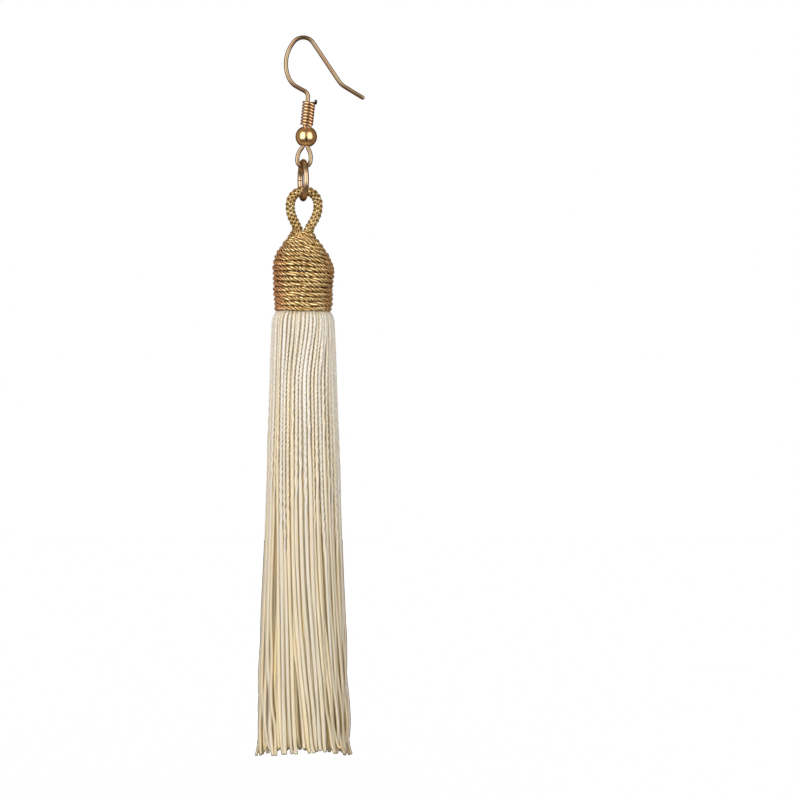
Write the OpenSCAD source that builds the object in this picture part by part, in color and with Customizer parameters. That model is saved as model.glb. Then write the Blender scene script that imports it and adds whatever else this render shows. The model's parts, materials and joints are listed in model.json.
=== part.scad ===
// Tassel earring: a bent wire ear hook with a ball and a coil, a jump ring, and a
// thread tassel whose cap and hanging loop are wound with gold yarn.
// Millimetres. +Z is up, and the origin is the underside of the arch, where the
// earring hangs on the ear. The hook lies in the XZ plane, its tail towards +X.

/* [Ear wire] */
// Thickness of the ear wire
wire_d = 0.64; // [0.5:0.02:0.8]
// From the underside of the arch down to the middle of the wire under the eye
hook_height = 19.08; // [18:0.1:24]
// How far the stem leans out of the vertical, in degrees
stem_lean = 5.8; // [0:0.1:8]
// Radius of the arch over the ear lobe
arch_r = 1.8; // [1.4:0.05:2.2]
// Radius of the long bow in front of the lobe
bow_r = 5.2; // [4.4:0.1:6]
// Radius of the elbow under the bow
elbow_r = 2.9; // [2.4:0.1:3.6]
// Radius of the bend from the elbow into the stem
stem_bend_r = 1; // [0.6:0.05:1.4]
// Length of the straight tail behind the lobe
tail_len = 6.9; // [4:0.1:12]
// Radius of the bend that turns the tip out
kink_r = 3; // [1:0.1:6]
// Length of the straight tip
tip_len = 3.4; // [2:0.1:5]

/* [Eye of the ear wire] */
// Radius of the eye's round bottom, at the middle of the wire
eye_r = 1; // [0.9:0.02:1.4]
// Straight stretch on each side of the eye
eye_side = 0.25; // [0.05:0.05:1]
// How far each leg spreads out of the ball, in degrees
eye_spread = 30; // [24:1:34]
// Radius of the bend where the legs leave the ball
eye_neck_r = 0.7; // [0.5:0.05:1]
// Radius of the eye's rounded shoulders
eye_shoulder_r = 2.4; // [1:0.1:3]
// Gap between the two legs where they run side by side
leg_gap = 0.04; // [0.02:0.01:0.2]

/* [Ball] */
// Outer diameter of the ball
ball_d = 3.25; // [2.8:0.05:4.5]
// Room between the pair of legs and the wall of the ball's bore
ball_clear = 0.12; // [0.05:0.01:0.25]
// How far inside the ball the legs start to spread
spread_depth = 0.11; // [0:0.01:0.2]

/* [Coil] */
// Thickness of the coil's fine wire
coil_wire_d = 0.4; // [0.25:0.01:0.43]
// Number of turns
coil_turns = 8; // [4:1:9]
// Distance from one turn to the next
coil_pitch = 0.454; // [0.43:0.002:0.5]
// Gap between the coil and what it is wound round or rests on
coil_clear = 0.025; // [0.01:0.005:0.08]
// Length of the coil's cut end, which stands up beside the stem
coil_end = 0.55; // [0.3:0.05:1.5]

/* [Jump ring] */
// Outer diameter of the jump ring
ring_d = 6.4; // [5.5:0.1:8]
// Thickness of the jump ring's wire
ring_wire_d = 0.84; // [0.6:0.02:1]
// How far the ring is turned out of edge-on, in degrees
ring_yaw = 11; // [0:1:20]
// Width of the cut in the ring
ring_slit = 0.05; // [0.02:0.01:0.2]
// Gap left between pieces that hang in each other
link_gap = 0.03; // [0.02:0.01:0.1]

/* [Cord loop] */
// Thickness of the wrapped cord
cord_d = 1.5; // [1.3:0.05:1.7]
// Thickness of each leg of the cord where the cap binds it
bound_cord_d = 1.2; // [1:0.05:1.25]
// Radius of the loop's round top, at the middle of the cord
loop_r = 2.08; // [1.9:0.02:3]
// Straight stretch on each side of the loop
loop_side = 0.3; // [0.05:0.05:2]
// Radius of the loop's lower shoulders
loop_shoulder_r = 4; // [3:0.1:4.5]
// How far the lower legs of the loop lean in, in degrees
loop_taper = 28; // [24:1:32]
// Radius of the bend where the two legs come together
loop_neck_r = 1.2; // [1:0.05:1.5]
// How far the legs reach down inside the cap
loop_root = 0.75; // [0.4:0.05:1.2]
// How far the loop leans towards the hook's tail, in degrees
loop_lean = 2; // [0:0.5:2.5]
// Depth of the grooves between the wraps of yarn on the cord
wrap_depth = 0.09; // [0.02:0.01:0.2]

/* [Wound cap] */
// Thickness of the gold yarn
yarn_d = 0.73; // [0.6:0.01:0.85]
// Spacing of the yarn's rows and wraps, as a share of its thickness
yarn_spacing = 1.02; // [1.01:0.01:1.2]
// Outer radius of the cap where it is widest
cap_r = 4.68; // [4.4:0.02:5]
// Outer radius of the cap at its rim
cap_rim_r = 4.35; // [4.1:0.05:4.6]
// Height of the cap
cap_height = 11.9; // [10:0.1:16]
// How far the top of the cap slopes out of the vertical, in degrees
cap_slope = 36; // [32:1:42]
// Radius of the cap's rounded shoulder, at the middle of the yarn
cap_shoulder_r = 5.6; // [4:0.1:7]
// Gap between the cord's legs and the top row of yarn
cap_neck_gap = 0.07; // [0.05:0.01:0.3]
// How much the cap's wall is thicker than its yarn
cap_lining = 0.05; // [0.02:0.01:0.2]

/* [Thread skirt] */
// Length of the threads that show under the cap
skirt_len = 66.4; // [40:1:120]
// Radius of the skirt just under the cap
skirt_top_r = 4.85; // [4.6:0.05:5.5]
// Radius of the skirt at its ends
skirt_end_r = 7.3; // [6:0.1:9]
// Number of locks that the threads gather in
lock_count = 30; // [16:2:32]
// Depth of the grooves between the locks at their ends
lock_groove = 0.75; // [0.2:0.05:1.2]
// How much the locks differ in length
lock_uneven = 1; // [0:0.1:2]
// How far the locks wander round the tassel, in degrees
lock_drift = 4; // [0:0.5:5]
// Gap between the threads' bound head and the cap and cord round it
head_gap = 0.05; // [0.03:0.01:0.15]

/* [Hidden] */
$fn = 48;

wire_r = wire_d / 2;
ball_r = ball_d / 2;
coil_r = coil_wire_d / 2;
ring_wire_r = ring_wire_d / 2;
cord_r = cord_d / 2;
bound_r = bound_cord_d / 2;
yarn_r = yarn_d / 2;

// Directions that the ear wire takes on its way from the stem to the tip, in
// degrees from +X towards +Z
stem_heading = 90 - stem_lean;
elbow_heading = 152;
bow_heading = 113.5;
arch_heading = 50;
tail_heading = -56.2;
tip_heading = -31.3;

// A path is a list of bends, [turn in degrees, radius], a left turn being positive.
// A straight stretch is [0, length]. A station on it is [x, z, heading].
function sum(v, i = 0) = i < len(v) ? v[i] + sum(v, i + 1) : 0;
function bend_len(b) = b[0] == 0 ? b[1] : abs(b[0]) * PI / 180 * b[1];
function path_len(path) = sum([for (b = path) bend_len(b)]);
function moved(at, b, part = 1) = b[0] == 0
    ? at + part * b[1] * [cos(at[2]), sin(at[2]), 0]
    : at + sign(b[0]) * b[1] * [sin(at[2] + part * b[0]) - sin(at[2]),
                                cos(at[2]) - cos(at[2] + part * b[0]), 0] + [0, 0, part * b[0]];
function station(path, from, s, i = 0) = let (whole = bend_len(path[i]))
    s <= whole || i == len(path) - 1
        ? moved(from, path[i], s / whole)
        : station(path, moved(from, path[i]), s - whole, i + 1);
function path_end(path, from) = station(path, from, path_len(path));

// Distances along a path at which a tube on it needs a ring
function stops(path, max_turn, max_step) = [0, for (i = [0:len(path) - 1])
    let (before = sum([for (j = [0:1:i - 1]) bend_len(path[j])]), whole = bend_len(path[i]))
    let (n = path[i][0] == 0 ? 1 : ceil(max(abs(path[i][0]) / max_turn, whole / max_step)))
    for (k = [1:n]) before + whole * k / n];

// A tube through sections [centre, direction, outward unit vector, radius]
module tube(sections, sides) {
    rings = len(sections);
    points = [for (s = sections, k = [0:sides - 1])
        s[0] + s[3] * (cos(360 * k / sides) * s[2] + sin(360 * k / sides) * cross(s[1], s[2]))];
    walls = [for (i = [0:rings - 2], k = [0:sides - 1]) let (next = (k + 1) % sides)
        [i * sides + k, (i + 1) * sides + k, (i + 1) * sides + next, i * sides + next]];
    first = [for (k = [0:sides - 1]) k];
    last = [for (k = [sides - 1:-1:0]) (rings - 1) * sides + k];
    polyhedron(points, concat([first], walls, [last]), convexity = 8);
}

// A tube's section at a station of a path in the XZ plane
function upright(at, r) = [[at[0], 0, at[1]], [cos(at[2]), 0, sin(at[2])], [-sin(at[2]), 0, cos(at[2])], r];

// The eye, from its bottom upwards
leg_x = (wire_d + leg_gap) / 2;
eye_bend = 1 - cos(eye_spread);
eye_leg = (eye_r - leg_x - (eye_neck_r + eye_shoulder_r) * eye_bend) / sin(eye_spread);
eye_height = eye_r + eye_side + (eye_neck_r + eye_shoulder_r) * sin(eye_spread) + eye_leg * cos(eye_spread);

// What sits on the legs, as heights along the stem above the bottom of the eye
bore_r = leg_x + wire_r + ball_clear;
ball_height = eye_height - spread_depth + sqrt(pow(ball_r, 2) - pow(bore_r, 2));
coil_depth = wire_r + coil_clear + coil_r;
coil_low = ball_height + sqrt(pow(ball_r + coil_clear + coil_r, 2) - pow(leg_x + coil_depth, 2));
coil_high = coil_low + coil_turns * coil_pitch;

// The ear wire, from the end of the return leg to the start of the tip. The lengths
// of the stem and of the stretch above it follow from where the arch has to be.
function on_stem(x, height) = [0, -hook_height]
    + x * [sin(stem_heading), -cos(stem_heading)] + height * [cos(stem_heading), sin(stem_heading)];
return_leg_len = coil_high - coil_pitch - eye_height;
eye_path = [[0, return_leg_len], [eye_spread, eye_neck_r], [0, eye_leg], [-eye_spread, eye_shoulder_r],
    [0, eye_side], [-180, eye_r], [0, eye_side],
    [-eye_spread, eye_shoulder_r], [0, eye_leg], [eye_spread, eye_neck_r]];
stem_bend = [elbow_heading - stem_heading, stem_bend_r];
front_bends = [[bow_heading - elbow_heading, elbow_r], [arch_heading - bow_heading, bow_r], [-arch_heading, arch_r]];
stem_foot = on_stem(-leg_x, eye_height);
bends_move = moved([0, 0, stem_heading], stem_bend) + path_end(front_bends, [0, 0, elbow_heading]);
reach = [-stem_foot[0] - bends_move[0], wire_r - stem_foot[1] - bends_move[1]];
lean_sine = sin(elbow_heading - stem_heading);
stem_len = (reach[0] * sin(elbow_heading) - reach[1] * cos(elbow_heading)) / lean_sine;
cross_len = (reach[1] * cos(stem_heading) - reach[0] * sin(stem_heading)) / lean_sine;
wire_path = concat(eye_path, [[0, stem_len], stem_bend, [0, cross_len]], front_bends,
    [[tail_heading, arch_r], [0, tail_len], [tip_heading - tail_heading, kink_r]]);
wire_start = concat(on_stem(leg_x, coil_high - coil_pitch), [stem_heading - 180]);
tip_start = path_end(wire_path, wire_start);

wire_sides = 12;
// The wire has a section at least this often, in degrees of bend and in its own thickness
wire_turn = 15;
wire_step = 0.7 * wire_d;
// The swept wire thins out inside the tip, which is a round pin of its own
tip_lap = 0.5;
lap_share = 0.8;
lap_lead = 0.04;

module ear_wire() {
    bends = stops(wire_path, wire_turn, wire_step);
    last = len(bends) - 1;
    swept = [for (i = [0:last])
        upright(station(wire_path, wire_start, bends[i] - (i == last ? lap_lead : 0)), wire_r)];
    color("gold") {
        tube(concat(swept, [upright(moved(tip_start, [0, tip_lap]), wire_r * lap_share)]), wire_sides);
        translate([tip_start[0], 0, tip_start[1]]) rotate([0, 90 - tip_heading, 0])
            rotate_extrude() intersection() {
                square([wire_r, tip_len]);
                union() {
                    square([wire_r, tip_len - wire_r]);
                    translate([0, tip_len - wire_r]) circle(r = wire_r);
                }
            }
    }
}

// Places what is modelled round the stem's own axis, from the bottom of the eye
module along_stem() {
    translate([0, 0, -hook_height]) rotate([0, stem_lean, 0]) children();
}

// One turn of the coil, seen from above: round the right leg, across, round the left
coil_plan = [[90, coil_depth], [0, 2 * leg_x], [180, coil_depth], [0, 2 * leg_x], [90, coil_depth]];
coil_start = [leg_x + coil_depth, 0, 90];
coil_sides = 8;
coil_turn = 30;

module wire_coil() {
    round_len = path_len(coil_plan);
    one_turn = stops(coil_plan, coil_turn, round_len);
    fall = coil_pitch / round_len;
    // The cut end stands up from the middle of the right-hand bend
    cut_end = [for (height = [coil_end, coil_r * 0.8])
        [[coil_start[0], 0, coil_high + height], [0, 0, -1], [1, 0, 0], coil_r]];
    winding = [for (turn = [0:coil_turns - 1], i = [1:len(one_turn) - 1])
        let (at = station(coil_plan, coil_start, one_turn[i]))
        let (way = [cos(at[2]), sin(at[2]), -fall])
        [[at[0], at[1], coil_high - turn * coil_pitch - one_turn[i] * fall],
            way / norm(way), [sin(at[2]), -cos(at[2]), 0], coil_r]];
    color("darkgoldenrod") along_stem() tube(concat(cut_end, winding), coil_sides);
}

module ball_bead() {
    color("gold") along_stem() translate([0, 0, ball_height]) difference() {
        sphere(r = ball_r);
        cylinder(r = bore_r, h = ball_d + 1, center = true);
    }
}

// The ring hangs in the eye, and the cord loop hangs in the ring
ring_r = ring_d / 2 - ring_wire_r;
ring_z = -hook_height + wire_r + link_gap + ring_wire_r - ring_r;
ring_low_z = ring_z - ring_r;

module jump_ring() {
    slit = ring_slit / ring_r * 180 / PI;
    color("goldenrod") translate([0, 0, ring_z]) rotate([0, 90, ring_yaw])
        rotate([0, 0, 90 + slit / 2]) rotate_extrude(angle = 360 - slit)
            translate([ring_r, 0]) circle(r = ring_wire_r);
}

// The cord loop, from the end of one leg up, over the ring and down the other leg
loop_leg_x = bound_r + link_gap / 2;
loop_leg = (loop_r - loop_leg_x - (loop_neck_r + loop_shoulder_r) * (1 - cos(loop_taper))) / sin(loop_taper);
loop_height = loop_r + loop_side + (loop_neck_r + loop_shoulder_r) * sin(loop_taper) + loop_leg * cos(loop_taper);
neck_z = ring_low_z + ring_wire_r + link_gap + cord_r - loop_height;
loop_path = [[0, loop_root], [loop_taper, loop_neck_r], [0, loop_leg], [-loop_taper, loop_shoulder_r],
    [0, loop_side], [-180, loop_r], [0, loop_side],
    [-loop_taper, loop_shoulder_r], [0, loop_leg], [loop_taper, loop_neck_r], [0, loop_root]];
yarn_pitch = yarn_spacing * yarn_d;
cord_sides = 12;
rings_per_wrap = 4;

module cord_loop() {
    whole = path_len(loop_path);
    count = round(whole / yarn_pitch) * rings_per_wrap;
    neck_len = bend_len([loop_taper, loop_neck_r]);
    sections = [for (i = [0:count])
        let (s = whole * i / count)
        let (free = max(0, min(1, (min(s, whole - s) - loop_root) / neck_len)))
        let (groove = wrap_depth * (1 - abs(cos(180 * i / rings_per_wrap))))
        upright(station(loop_path, [-loop_leg_x, -loop_root, 90], s),
            bound_r + (cord_r - bound_r) * pow(free, 2) - groove)];
    color("darkgoldenrod") translate([0, 0, neck_z]) rotate([0, loop_lean, 0]) tube(sections, cord_sides);
}

// Middle of the cap's yarn in [radius, z], from the top row down the outside
row_first = [bound_cord_d + link_gap / 2 + cap_neck_gap + yarn_r, neck_z - yarn_r * 0.4];
cap_rim_z = row_first[1] + yarn_r - cap_height;
cap_slope_len = (cap_r - yarn_r - row_first[0] - cap_shoulder_r * (1 - cos(cap_slope))) / sin(cap_slope);
cap_path = [[0, cap_slope_len], [-cap_slope, cap_shoulder_r]];
cap_from = concat(row_first, [cap_slope - 90]);
cap_wide = path_end(cap_path, cap_from);
row_last = [cap_rim_r - yarn_r, cap_rim_z + yarn_r];
cap_side_len = norm([row_last[0] - cap_wide[0], row_last[1] - cap_wide[1]]);
cap_side_heading = atan2(row_last[1] - cap_wide[1], row_last[0] - cap_wide[0]);
cap_len = path_len(cap_path) + cap_side_len;
function cap_station(s) = s <= path_len(cap_path)
    ? station(cap_path, cap_from, s)
    : moved([cap_wide[0], cap_wide[1], cap_side_heading], [0, cap_side_len], (s - path_len(cap_path)) / cap_side_len);
function cap_inside(s, depth) = let (at = cap_station(s))
    [at[0] + depth * sin(at[2]), at[1] - depth * cos(at[2])];
cap_wall_in = yarn_r + cap_lining;

// The yarn is bedded this share of its radius past its middle
yarn_bed = 0.2;

module wound_cap() {
    rows = floor(cap_len / yarn_pitch);
    spots = [for (i = [0:rows]) cap_len * i / rows];
    color("goldenrod") rotate_extrude() union() {
        for (s = spots) translate(cap_inside(s, 0)) circle(r = yarn_r);
        polygon(concat([for (s = spots) cap_inside(s, cap_wall_in)],
            [for (i = [rows:-1:0]) cap_inside(spots[i], -yarn_bed * yarn_r)]));
    }
}

// The threads' bound head fills the cap up to the cord's legs
head_z = neck_z - loop_root - head_gap;
head_in = cap_wall_in + head_gap;
head_from = (row_first[1] - head_z - head_in * sin(cap_slope)) / cos(cap_slope);
head_rings = [for (share = [0, 0.22, 0.46, 0.7, 1])
    concat(cap_inside(head_from + share * (cap_len - head_from), head_in), [0, 0])];

// Skirt sections down from the rim: share of its length, share of the top radius,
// share of the way to the end radius, share of the grooves' depth
skirt_table = [
    [0.0025, 0.845, 0,     0.05],
    [0.009,  0.93,  0,     0.12],
    [0.021,  0.98,  0,     0.18],
    [0.04,   1,     0,     0.24],
    [0.1,    1,     0.08,  0.28],
    [0.2,    1,     0.17,  0.32],
    [0.33,   1,     0.3,   0.36],
    [0.47,   1,     0.43,  0.42],
    [0.6,    1,     0.57,  0.5],
    [0.74,   1,     0.745, 0.6],
    [0.875,  1,     0.9,   0.8],
    [0.96,   1,     0.98,  0.95],
    [1,      1,     1,     1],
];
skirt_rings = [for (t = skirt_table)
    [t[1] * skirt_top_r + t[2] * (skirt_end_r - skirt_top_r), cap_rim_z - t[0] * skirt_len, t[3], t[0]]];
rim_gap_ring = [head_rings[4][0] + 0.35 * yarn_r, cap_rim_z + 0.08 * yarn_r, 0, 0];
lock_points = 6;
// The ends are cut square, with a shallow hollow in the middle
hollow_share = 0.6;
hollow_depth = 0.8;

module thread_skirt() {
    rings = concat(head_rings, [rim_gap_ring], skirt_rings);
    around = lock_count * lock_points;
    // Each lock has a length of its own, and the groove beside it wanders a little
    length_of = [for (i = [0:lock_count - 1]) lock_uneven / 2 * sin(i * 137.5)];
    wander_of = [for (i = [0:lock_count - 1]) lock_drift * (0.6 + 0.4 * sin(i * 222.5))];
    function mix(list, i, part) = list[i] * (1 - part) + list[(i + 1) % lock_count] * part;
    function rim_point(ring, k) =
        let (i = floor(k / lock_points), part = (k % lock_points) / lock_points)
        let (turn = 360 * k / around + ring[3] * mix(wander_of, i, part))
        let (r = ring[0] - lock_groove * ring[2] * (1 - sin(180 * part)))
        [r * cos(turn), r * sin(turn), ring[1] - pow(ring[3], 4) * mix(length_of, i, part)];
    last = rings[len(rings) - 1];
    hollow_z = last[1] + hollow_depth;
    points = concat([for (ring = rings, k = [0:around - 1]) rim_point(ring, k)],
        [for (k = [0:around - 1]) let (p = rim_point(last, k)) [p[0] * hollow_share, p[1] * hollow_share, hollow_z]],
        [[0, 0, rings[0][1]], [0, 0, hollow_z]]);
    levels = len(rings) + 1;
    top = levels * around;
    walls = [for (j = [0:levels - 2], k = [0:around - 1]) let (next = (k + 1) % around)
        [j * around + k, j * around + next, (j + 1) * around + next, (j + 1) * around + k]];
    lid = [for (k = [0:around - 1]) [top, (k + 1) % around, k]];
    floor_faces = [for (k = [0:around - 1])
        [top + 1, (levels - 1) * around + k, (levels - 1) * around + (k + 1) % around]];
    color("cornsilk") polyhedron(points, concat(walls, lid, floor_faces), convexity = 6);
}

ear_wire();
wire_coil();
ball_bead();
jump_ring();
cord_loop();
wound_cap();
thread_skirt();
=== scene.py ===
"""Looks of a tassel earring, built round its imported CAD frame.

Sizes are millimetres and degrees, and each mesh is written in metres, in the frame of
the CAD: the origin is the underside of the hook's arch, where the earring hangs on the
ear, +Z is up, and the camera looks along +Y.
"""

import json
import math

import bpy
import numpy as np
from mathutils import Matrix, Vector
from mathutils.bvhtree import BVHTree


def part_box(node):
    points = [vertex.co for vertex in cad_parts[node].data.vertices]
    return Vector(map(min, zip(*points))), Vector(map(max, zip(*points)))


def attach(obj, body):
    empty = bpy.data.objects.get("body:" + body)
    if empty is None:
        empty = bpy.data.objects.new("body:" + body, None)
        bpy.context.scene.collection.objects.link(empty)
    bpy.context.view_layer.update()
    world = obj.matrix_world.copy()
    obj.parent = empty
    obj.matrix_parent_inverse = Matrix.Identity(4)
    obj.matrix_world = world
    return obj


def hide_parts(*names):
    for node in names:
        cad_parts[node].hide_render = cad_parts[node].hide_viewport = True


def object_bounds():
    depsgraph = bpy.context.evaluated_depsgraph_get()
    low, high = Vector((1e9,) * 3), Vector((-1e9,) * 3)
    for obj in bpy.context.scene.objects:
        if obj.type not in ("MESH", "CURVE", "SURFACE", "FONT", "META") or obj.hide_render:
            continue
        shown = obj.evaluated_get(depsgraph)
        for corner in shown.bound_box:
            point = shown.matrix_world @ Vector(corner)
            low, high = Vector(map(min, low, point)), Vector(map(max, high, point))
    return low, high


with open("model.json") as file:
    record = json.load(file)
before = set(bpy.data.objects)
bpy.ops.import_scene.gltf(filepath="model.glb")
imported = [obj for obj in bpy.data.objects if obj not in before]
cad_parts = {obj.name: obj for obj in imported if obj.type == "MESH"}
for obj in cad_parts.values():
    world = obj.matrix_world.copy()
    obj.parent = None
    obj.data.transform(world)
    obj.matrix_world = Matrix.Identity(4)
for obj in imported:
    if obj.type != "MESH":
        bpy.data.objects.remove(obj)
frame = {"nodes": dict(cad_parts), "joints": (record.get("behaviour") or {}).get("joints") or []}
cad_low, cad_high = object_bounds()

MM = 0.001
JOINT_AT = {joint["name"]: joint["pos_m"] for joint in frame["joints"]}
RANDOM = np.random.default_rng(11)

X_AXIS, Y_AXIS, Z_AXIS = np.eye(3)

# Round sections, as shares of a radius
ROUND_WIRE = np.ones(24)
FINE_WIRE = np.ones(14)
ROUND_STRAND = np.ones(9)
ROUND_THREAD = np.ones(5)

# Each line of a piece reads its grain this much further along, so that no two look alike
GRAIN_SHIFT = 17.3

# Camera: the photograph's frame is this wide at the earring
PHOTO_WIDTH = 120.0
PHOTO_MIDDLE_X = 14.52
PHOTO_MIDDLE_Z = -54.06
CAMERA_DISTANCE = 1200.0
CAMERA_REACH = 10000.0
SENSOR_WIDTH = 36.0

# Brightness and tints of the room that the metal mirrors
LEFT_LAMP = 3.1
RIGHT_LAMP = 2.5
BACK_LAMP = 1.3
LEFT_WALL = 0.45
RIGHT_WALL = 0.33
ROOM_BEHIND = 0.05
ROOM_IN_FRONT = 0.2
CEILING = 0.3
GROUND = 0.5
LAMP_TINT = (1.0, 0.98, 0.93, 1)
WALL_TINT = (1.0, 0.70, 0.48, 1)

# Even light from all sides on matt surfaces
FILL = 0.3
FILL_TINT = (0.93, 0.97, 1.0, 1)

# Soft lamps that light the threads: azimuth, height, watts and colour
LAMP_DISTANCE = 1100.0
LAMP_SIZE = 400.0
COOL_LIGHT = (0.91, 0.95, 1.0)
SOFT_LAMPS = [(-42, 18, 4.9, (1.0, 0.98, 0.96)), (50, 12, 2.4, (1.0, 0.97, 0.94)),
              (4, 4, 3.9, (1.0, 0.98, 0.95)), (-150, 15, 5.0, COOL_LIGHT),
              (150, 15, 4.4, COOL_LIGHT)]

# Floor
FLOOR_R = 3000.0
FLOOR_DROP = 20.0
FLOOR_WHITE = (0.9, 0.9, 0.9, 1)

# Metals: colour, warmer tint and roughness
WIRE_GOLD = ((0.36, 0.29, 0.18, 1), (0.36, 0.225, 0.14, 1), 0.16)
BALL_GOLD = ((0.82, 0.59, 0.31, 1), (0.78, 0.53, 0.28, 1), 0.18)
COIL_GOLD = ((0.68, 0.47, 0.28, 1), (0.62, 0.37, 0.21, 1), 0.17)
RING_GOLD = ((0.55, 0.45, 0.31, 1), (0.53, 0.36, 0.24, 1), 0.22)
DARK_END_METAL = (0.07, 0.045, 0.03, 1)
METAL_EDGE = (0.35, 0.2, 0.12, 1)

# How finely the metal's faint lines lie round and along a drawn wire, and on the ball
DRAWN = (8.0, 8.0, 0.3)
TURNED = (2.0, 2.0, 2.0)

# Gold yarn, and the stretches of the earring's width where a warm reflection is painted on it in
# copper
YARN_GOLD = (0.64, 0.41, 0.155, 1)
YARN_PALE = (1.0, 0.84, 0.45, 1)
YARN_PAINTED_REFLECTION = (1.0, 0.56, 0.28, 1)
YARN_DULL = (0.34, 0.25, 0.10, 1)
# Painted shade in the yarn's grooves
YARN_PAINTED_GROOVE_SHADE = (0.16, 0.075, 0.022, 1)
YARN_STREAK = (0.25, 0.12, 0.03, 1)
LEFT_PAINTED_REFLECTION_X = (-3.5, -2.5)
RIGHT_PAINTED_REFLECTION_X = (2.8, 4.0)
LEFT_PAINTED_REFLECTION = 0.9
RIGHT_PAINTED_REFLECTION = 0.5

# Cream thread, and the heights between which its colours change; it is painted darker towards the
# bottom and at the ends as shade
CREAM_HIGH = (0.80, 0.795, 0.78, 1)
CREAM_LOW_PAINTED_SHADE = (0.51, 0.507, 0.46, 1)
CREAM_END_PAINTED_SHADE = (0.50, 0.505, 0.46, 1)
# Golden colour of the inner rings, a painted warm shade of the gaps between the outer threads
INSIDE_PAINTED_SHADE_HIGH = (0.82, 0.74, 0.56, 1)
INSIDE_PAINTED_SHADE_LOW = (0.88, 0.67, 0.28, 1)
THREAD_PATCH = (0.62, 0.575, 0.52, 1)
# Golden painted shade on the sides of a thread
THREAD_PAINTED_SHADE = (0.66, 0.45, 0.15, 1)
THREAD_PARTED = (0.57, 0.50, 0.37, 1)
THREAD_STREAK = (0.65, 0.59, 0.46, 1)
CREAM_Z = (-98.0, -45.0)
END_Z = (-106.0, -98.0)
INSIDE_Z = (-62.0, -45.0)
PARTED_Z = (-78.0, -50.0)

# Room between linked pieces
LINK_GAP = 0.03

# Ear wire
WIRE_R = 0.32
HOOK_HEIGHT = -JOINT_AT["ring_swing"][2] / MM
STEM_LEAN = 5.8
ARCH_R = 1.8
BOW_R = 5.2
ELBOW_R = 2.9
STEM_BEND_R = 1.0
TAIL_LEN = 6.9
KINK_R = 3.0
TIP_LEN = 3.4
ELBOW_HEADING = 152.0
BOW_HEADING = 113.5
ARCH_HEADING = 50.0
TAIL_HEADING = -56.2
TIP_HEADING = -31.3
STEM_HEADING = 90 - STEM_LEAN

# Angles of the rings that round off the end of a wire
END_ANGLES = np.arange(5, 90, 12)

# Eye of the ear wire
EYE_R = 1.0
EYE_SIDE = 0.25
EYE_SPREAD = 30.0
EYE_NECK_R = 0.7
EYE_SHOULDER_R = 2.4
LEG_GAP = 0.04
LEG_X = WIRE_R + LEG_GAP / 2

# Ball and coil on the stem
BALL_R = 1.625
BALL_CLEAR = 0.12
BALL_EDGE = 0.08
SPREAD_DEPTH = 0.11
COIL_R = 0.21
COIL_TURNS = 8
COIL_PITCH = 0.454
COIL_CLEAR = 0.025
COIL_END = 0.55
COIL_CORNER_R = 0.24
COIL_FRONT = 0.61
COIL_DARK_LEN = 1.5
COIL_TURN_POINTS = 60
COIL_RINGS = 520
# Where a turn steps down and where it runs round the legs, as shares of the turn
COIL_STEP_DOWN = (0.7, 0.98)
COIL_ROUND_PART = (0.11, 0.87)
# How far a turn falls evenly and how far below the top the first one starts, in pitches
COIL_EVEN_FALL = 0.2
COIL_START = 0.3

# Jump ring
RING_WIRE_R = 0.42
RING_R = (HOOK_HEIGHT - WIRE_R - LINK_GAP - RING_WIRE_R + JOINT_AT["tassel_swing"][2] / MM) / -2
RING_YAW = 10.0
RING_SLIT = 0.01

# Cord loop, a round braid of eight gold yarns
CORD_R = 0.75
BOUND_CORD_R = 0.6
LOOP_R = 2.08
LOOP_SIDE = 0.3
LOOP_SHOULDER_R = 4.0
LOOP_TAPER = 28.0
LOOP_NECK_R = 1.2
LOOP_ROOT = 0.75
LOOP_SWELL = 0.6
LOOP_LEAN = 2.0
CORD_RINGS = 240
BRAID_STRANDS_A_WAY = 4
BRAID_LAY = 2.7
BRAID_STRAND_R = 0.23
BRAID_WEAVE = 0.08
BRAID_CORE_R = 0.5

# Wound cap
YARN_R = 0.365
YARN_LAY = 3.4
CAP_TOP_R = 1.65
CAP_RIM_R = 4.35
CAP_SLOPE = 36.0
CAP_SHOULDER_R = 5.6
CAP_ROWS = 17
CAP_LEVEL_Z = -34.5
CAP_TURN_POINTS = 150
# The winding's yarn is pressed this much wider than its rows and sunk this far into them
WINDING_SWELL = 1.14
WINDING_SINK = 0.04
TUCK_DEPTH = 0.5
TUCK_START = 0.25
TUCK_END = 0.3
ROW_TILT = 0.16
ROW_BOW = 0.1
# Unevenness of the winding by hand, as waves (height, pace, start)
ROW_WAVES = [(0.2, 6.7, 0), (0.12, 12.9, 1.3), (0.05, 19.9, 0)]
DEPTH_WAVES = [(0.05, 7.3, 0)]
TWIST_WAVES = [(0.9, 0.37, 0), (0.7, 0.83, 1), (0.4, 2.1, 2)]
THICK_WAVES = [(0.05, 1.3, 0), (0.04, 0.51, 2)]
# The spiral that closes the top: turns, radii and heights over the first row
SPIRAL_TURNS = 2.1
SPIRAL_R = (0.8, 1.5)
SPIRAL_RISE = (0.3, -0.05)
SPIRAL_POINTS = 170
SPIRAL_THIN = 0.9
# Where the ties lie above the rows: radius, and height over the first row
CROWN_R = 0.75
CROWN_RISE = 0.85
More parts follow.
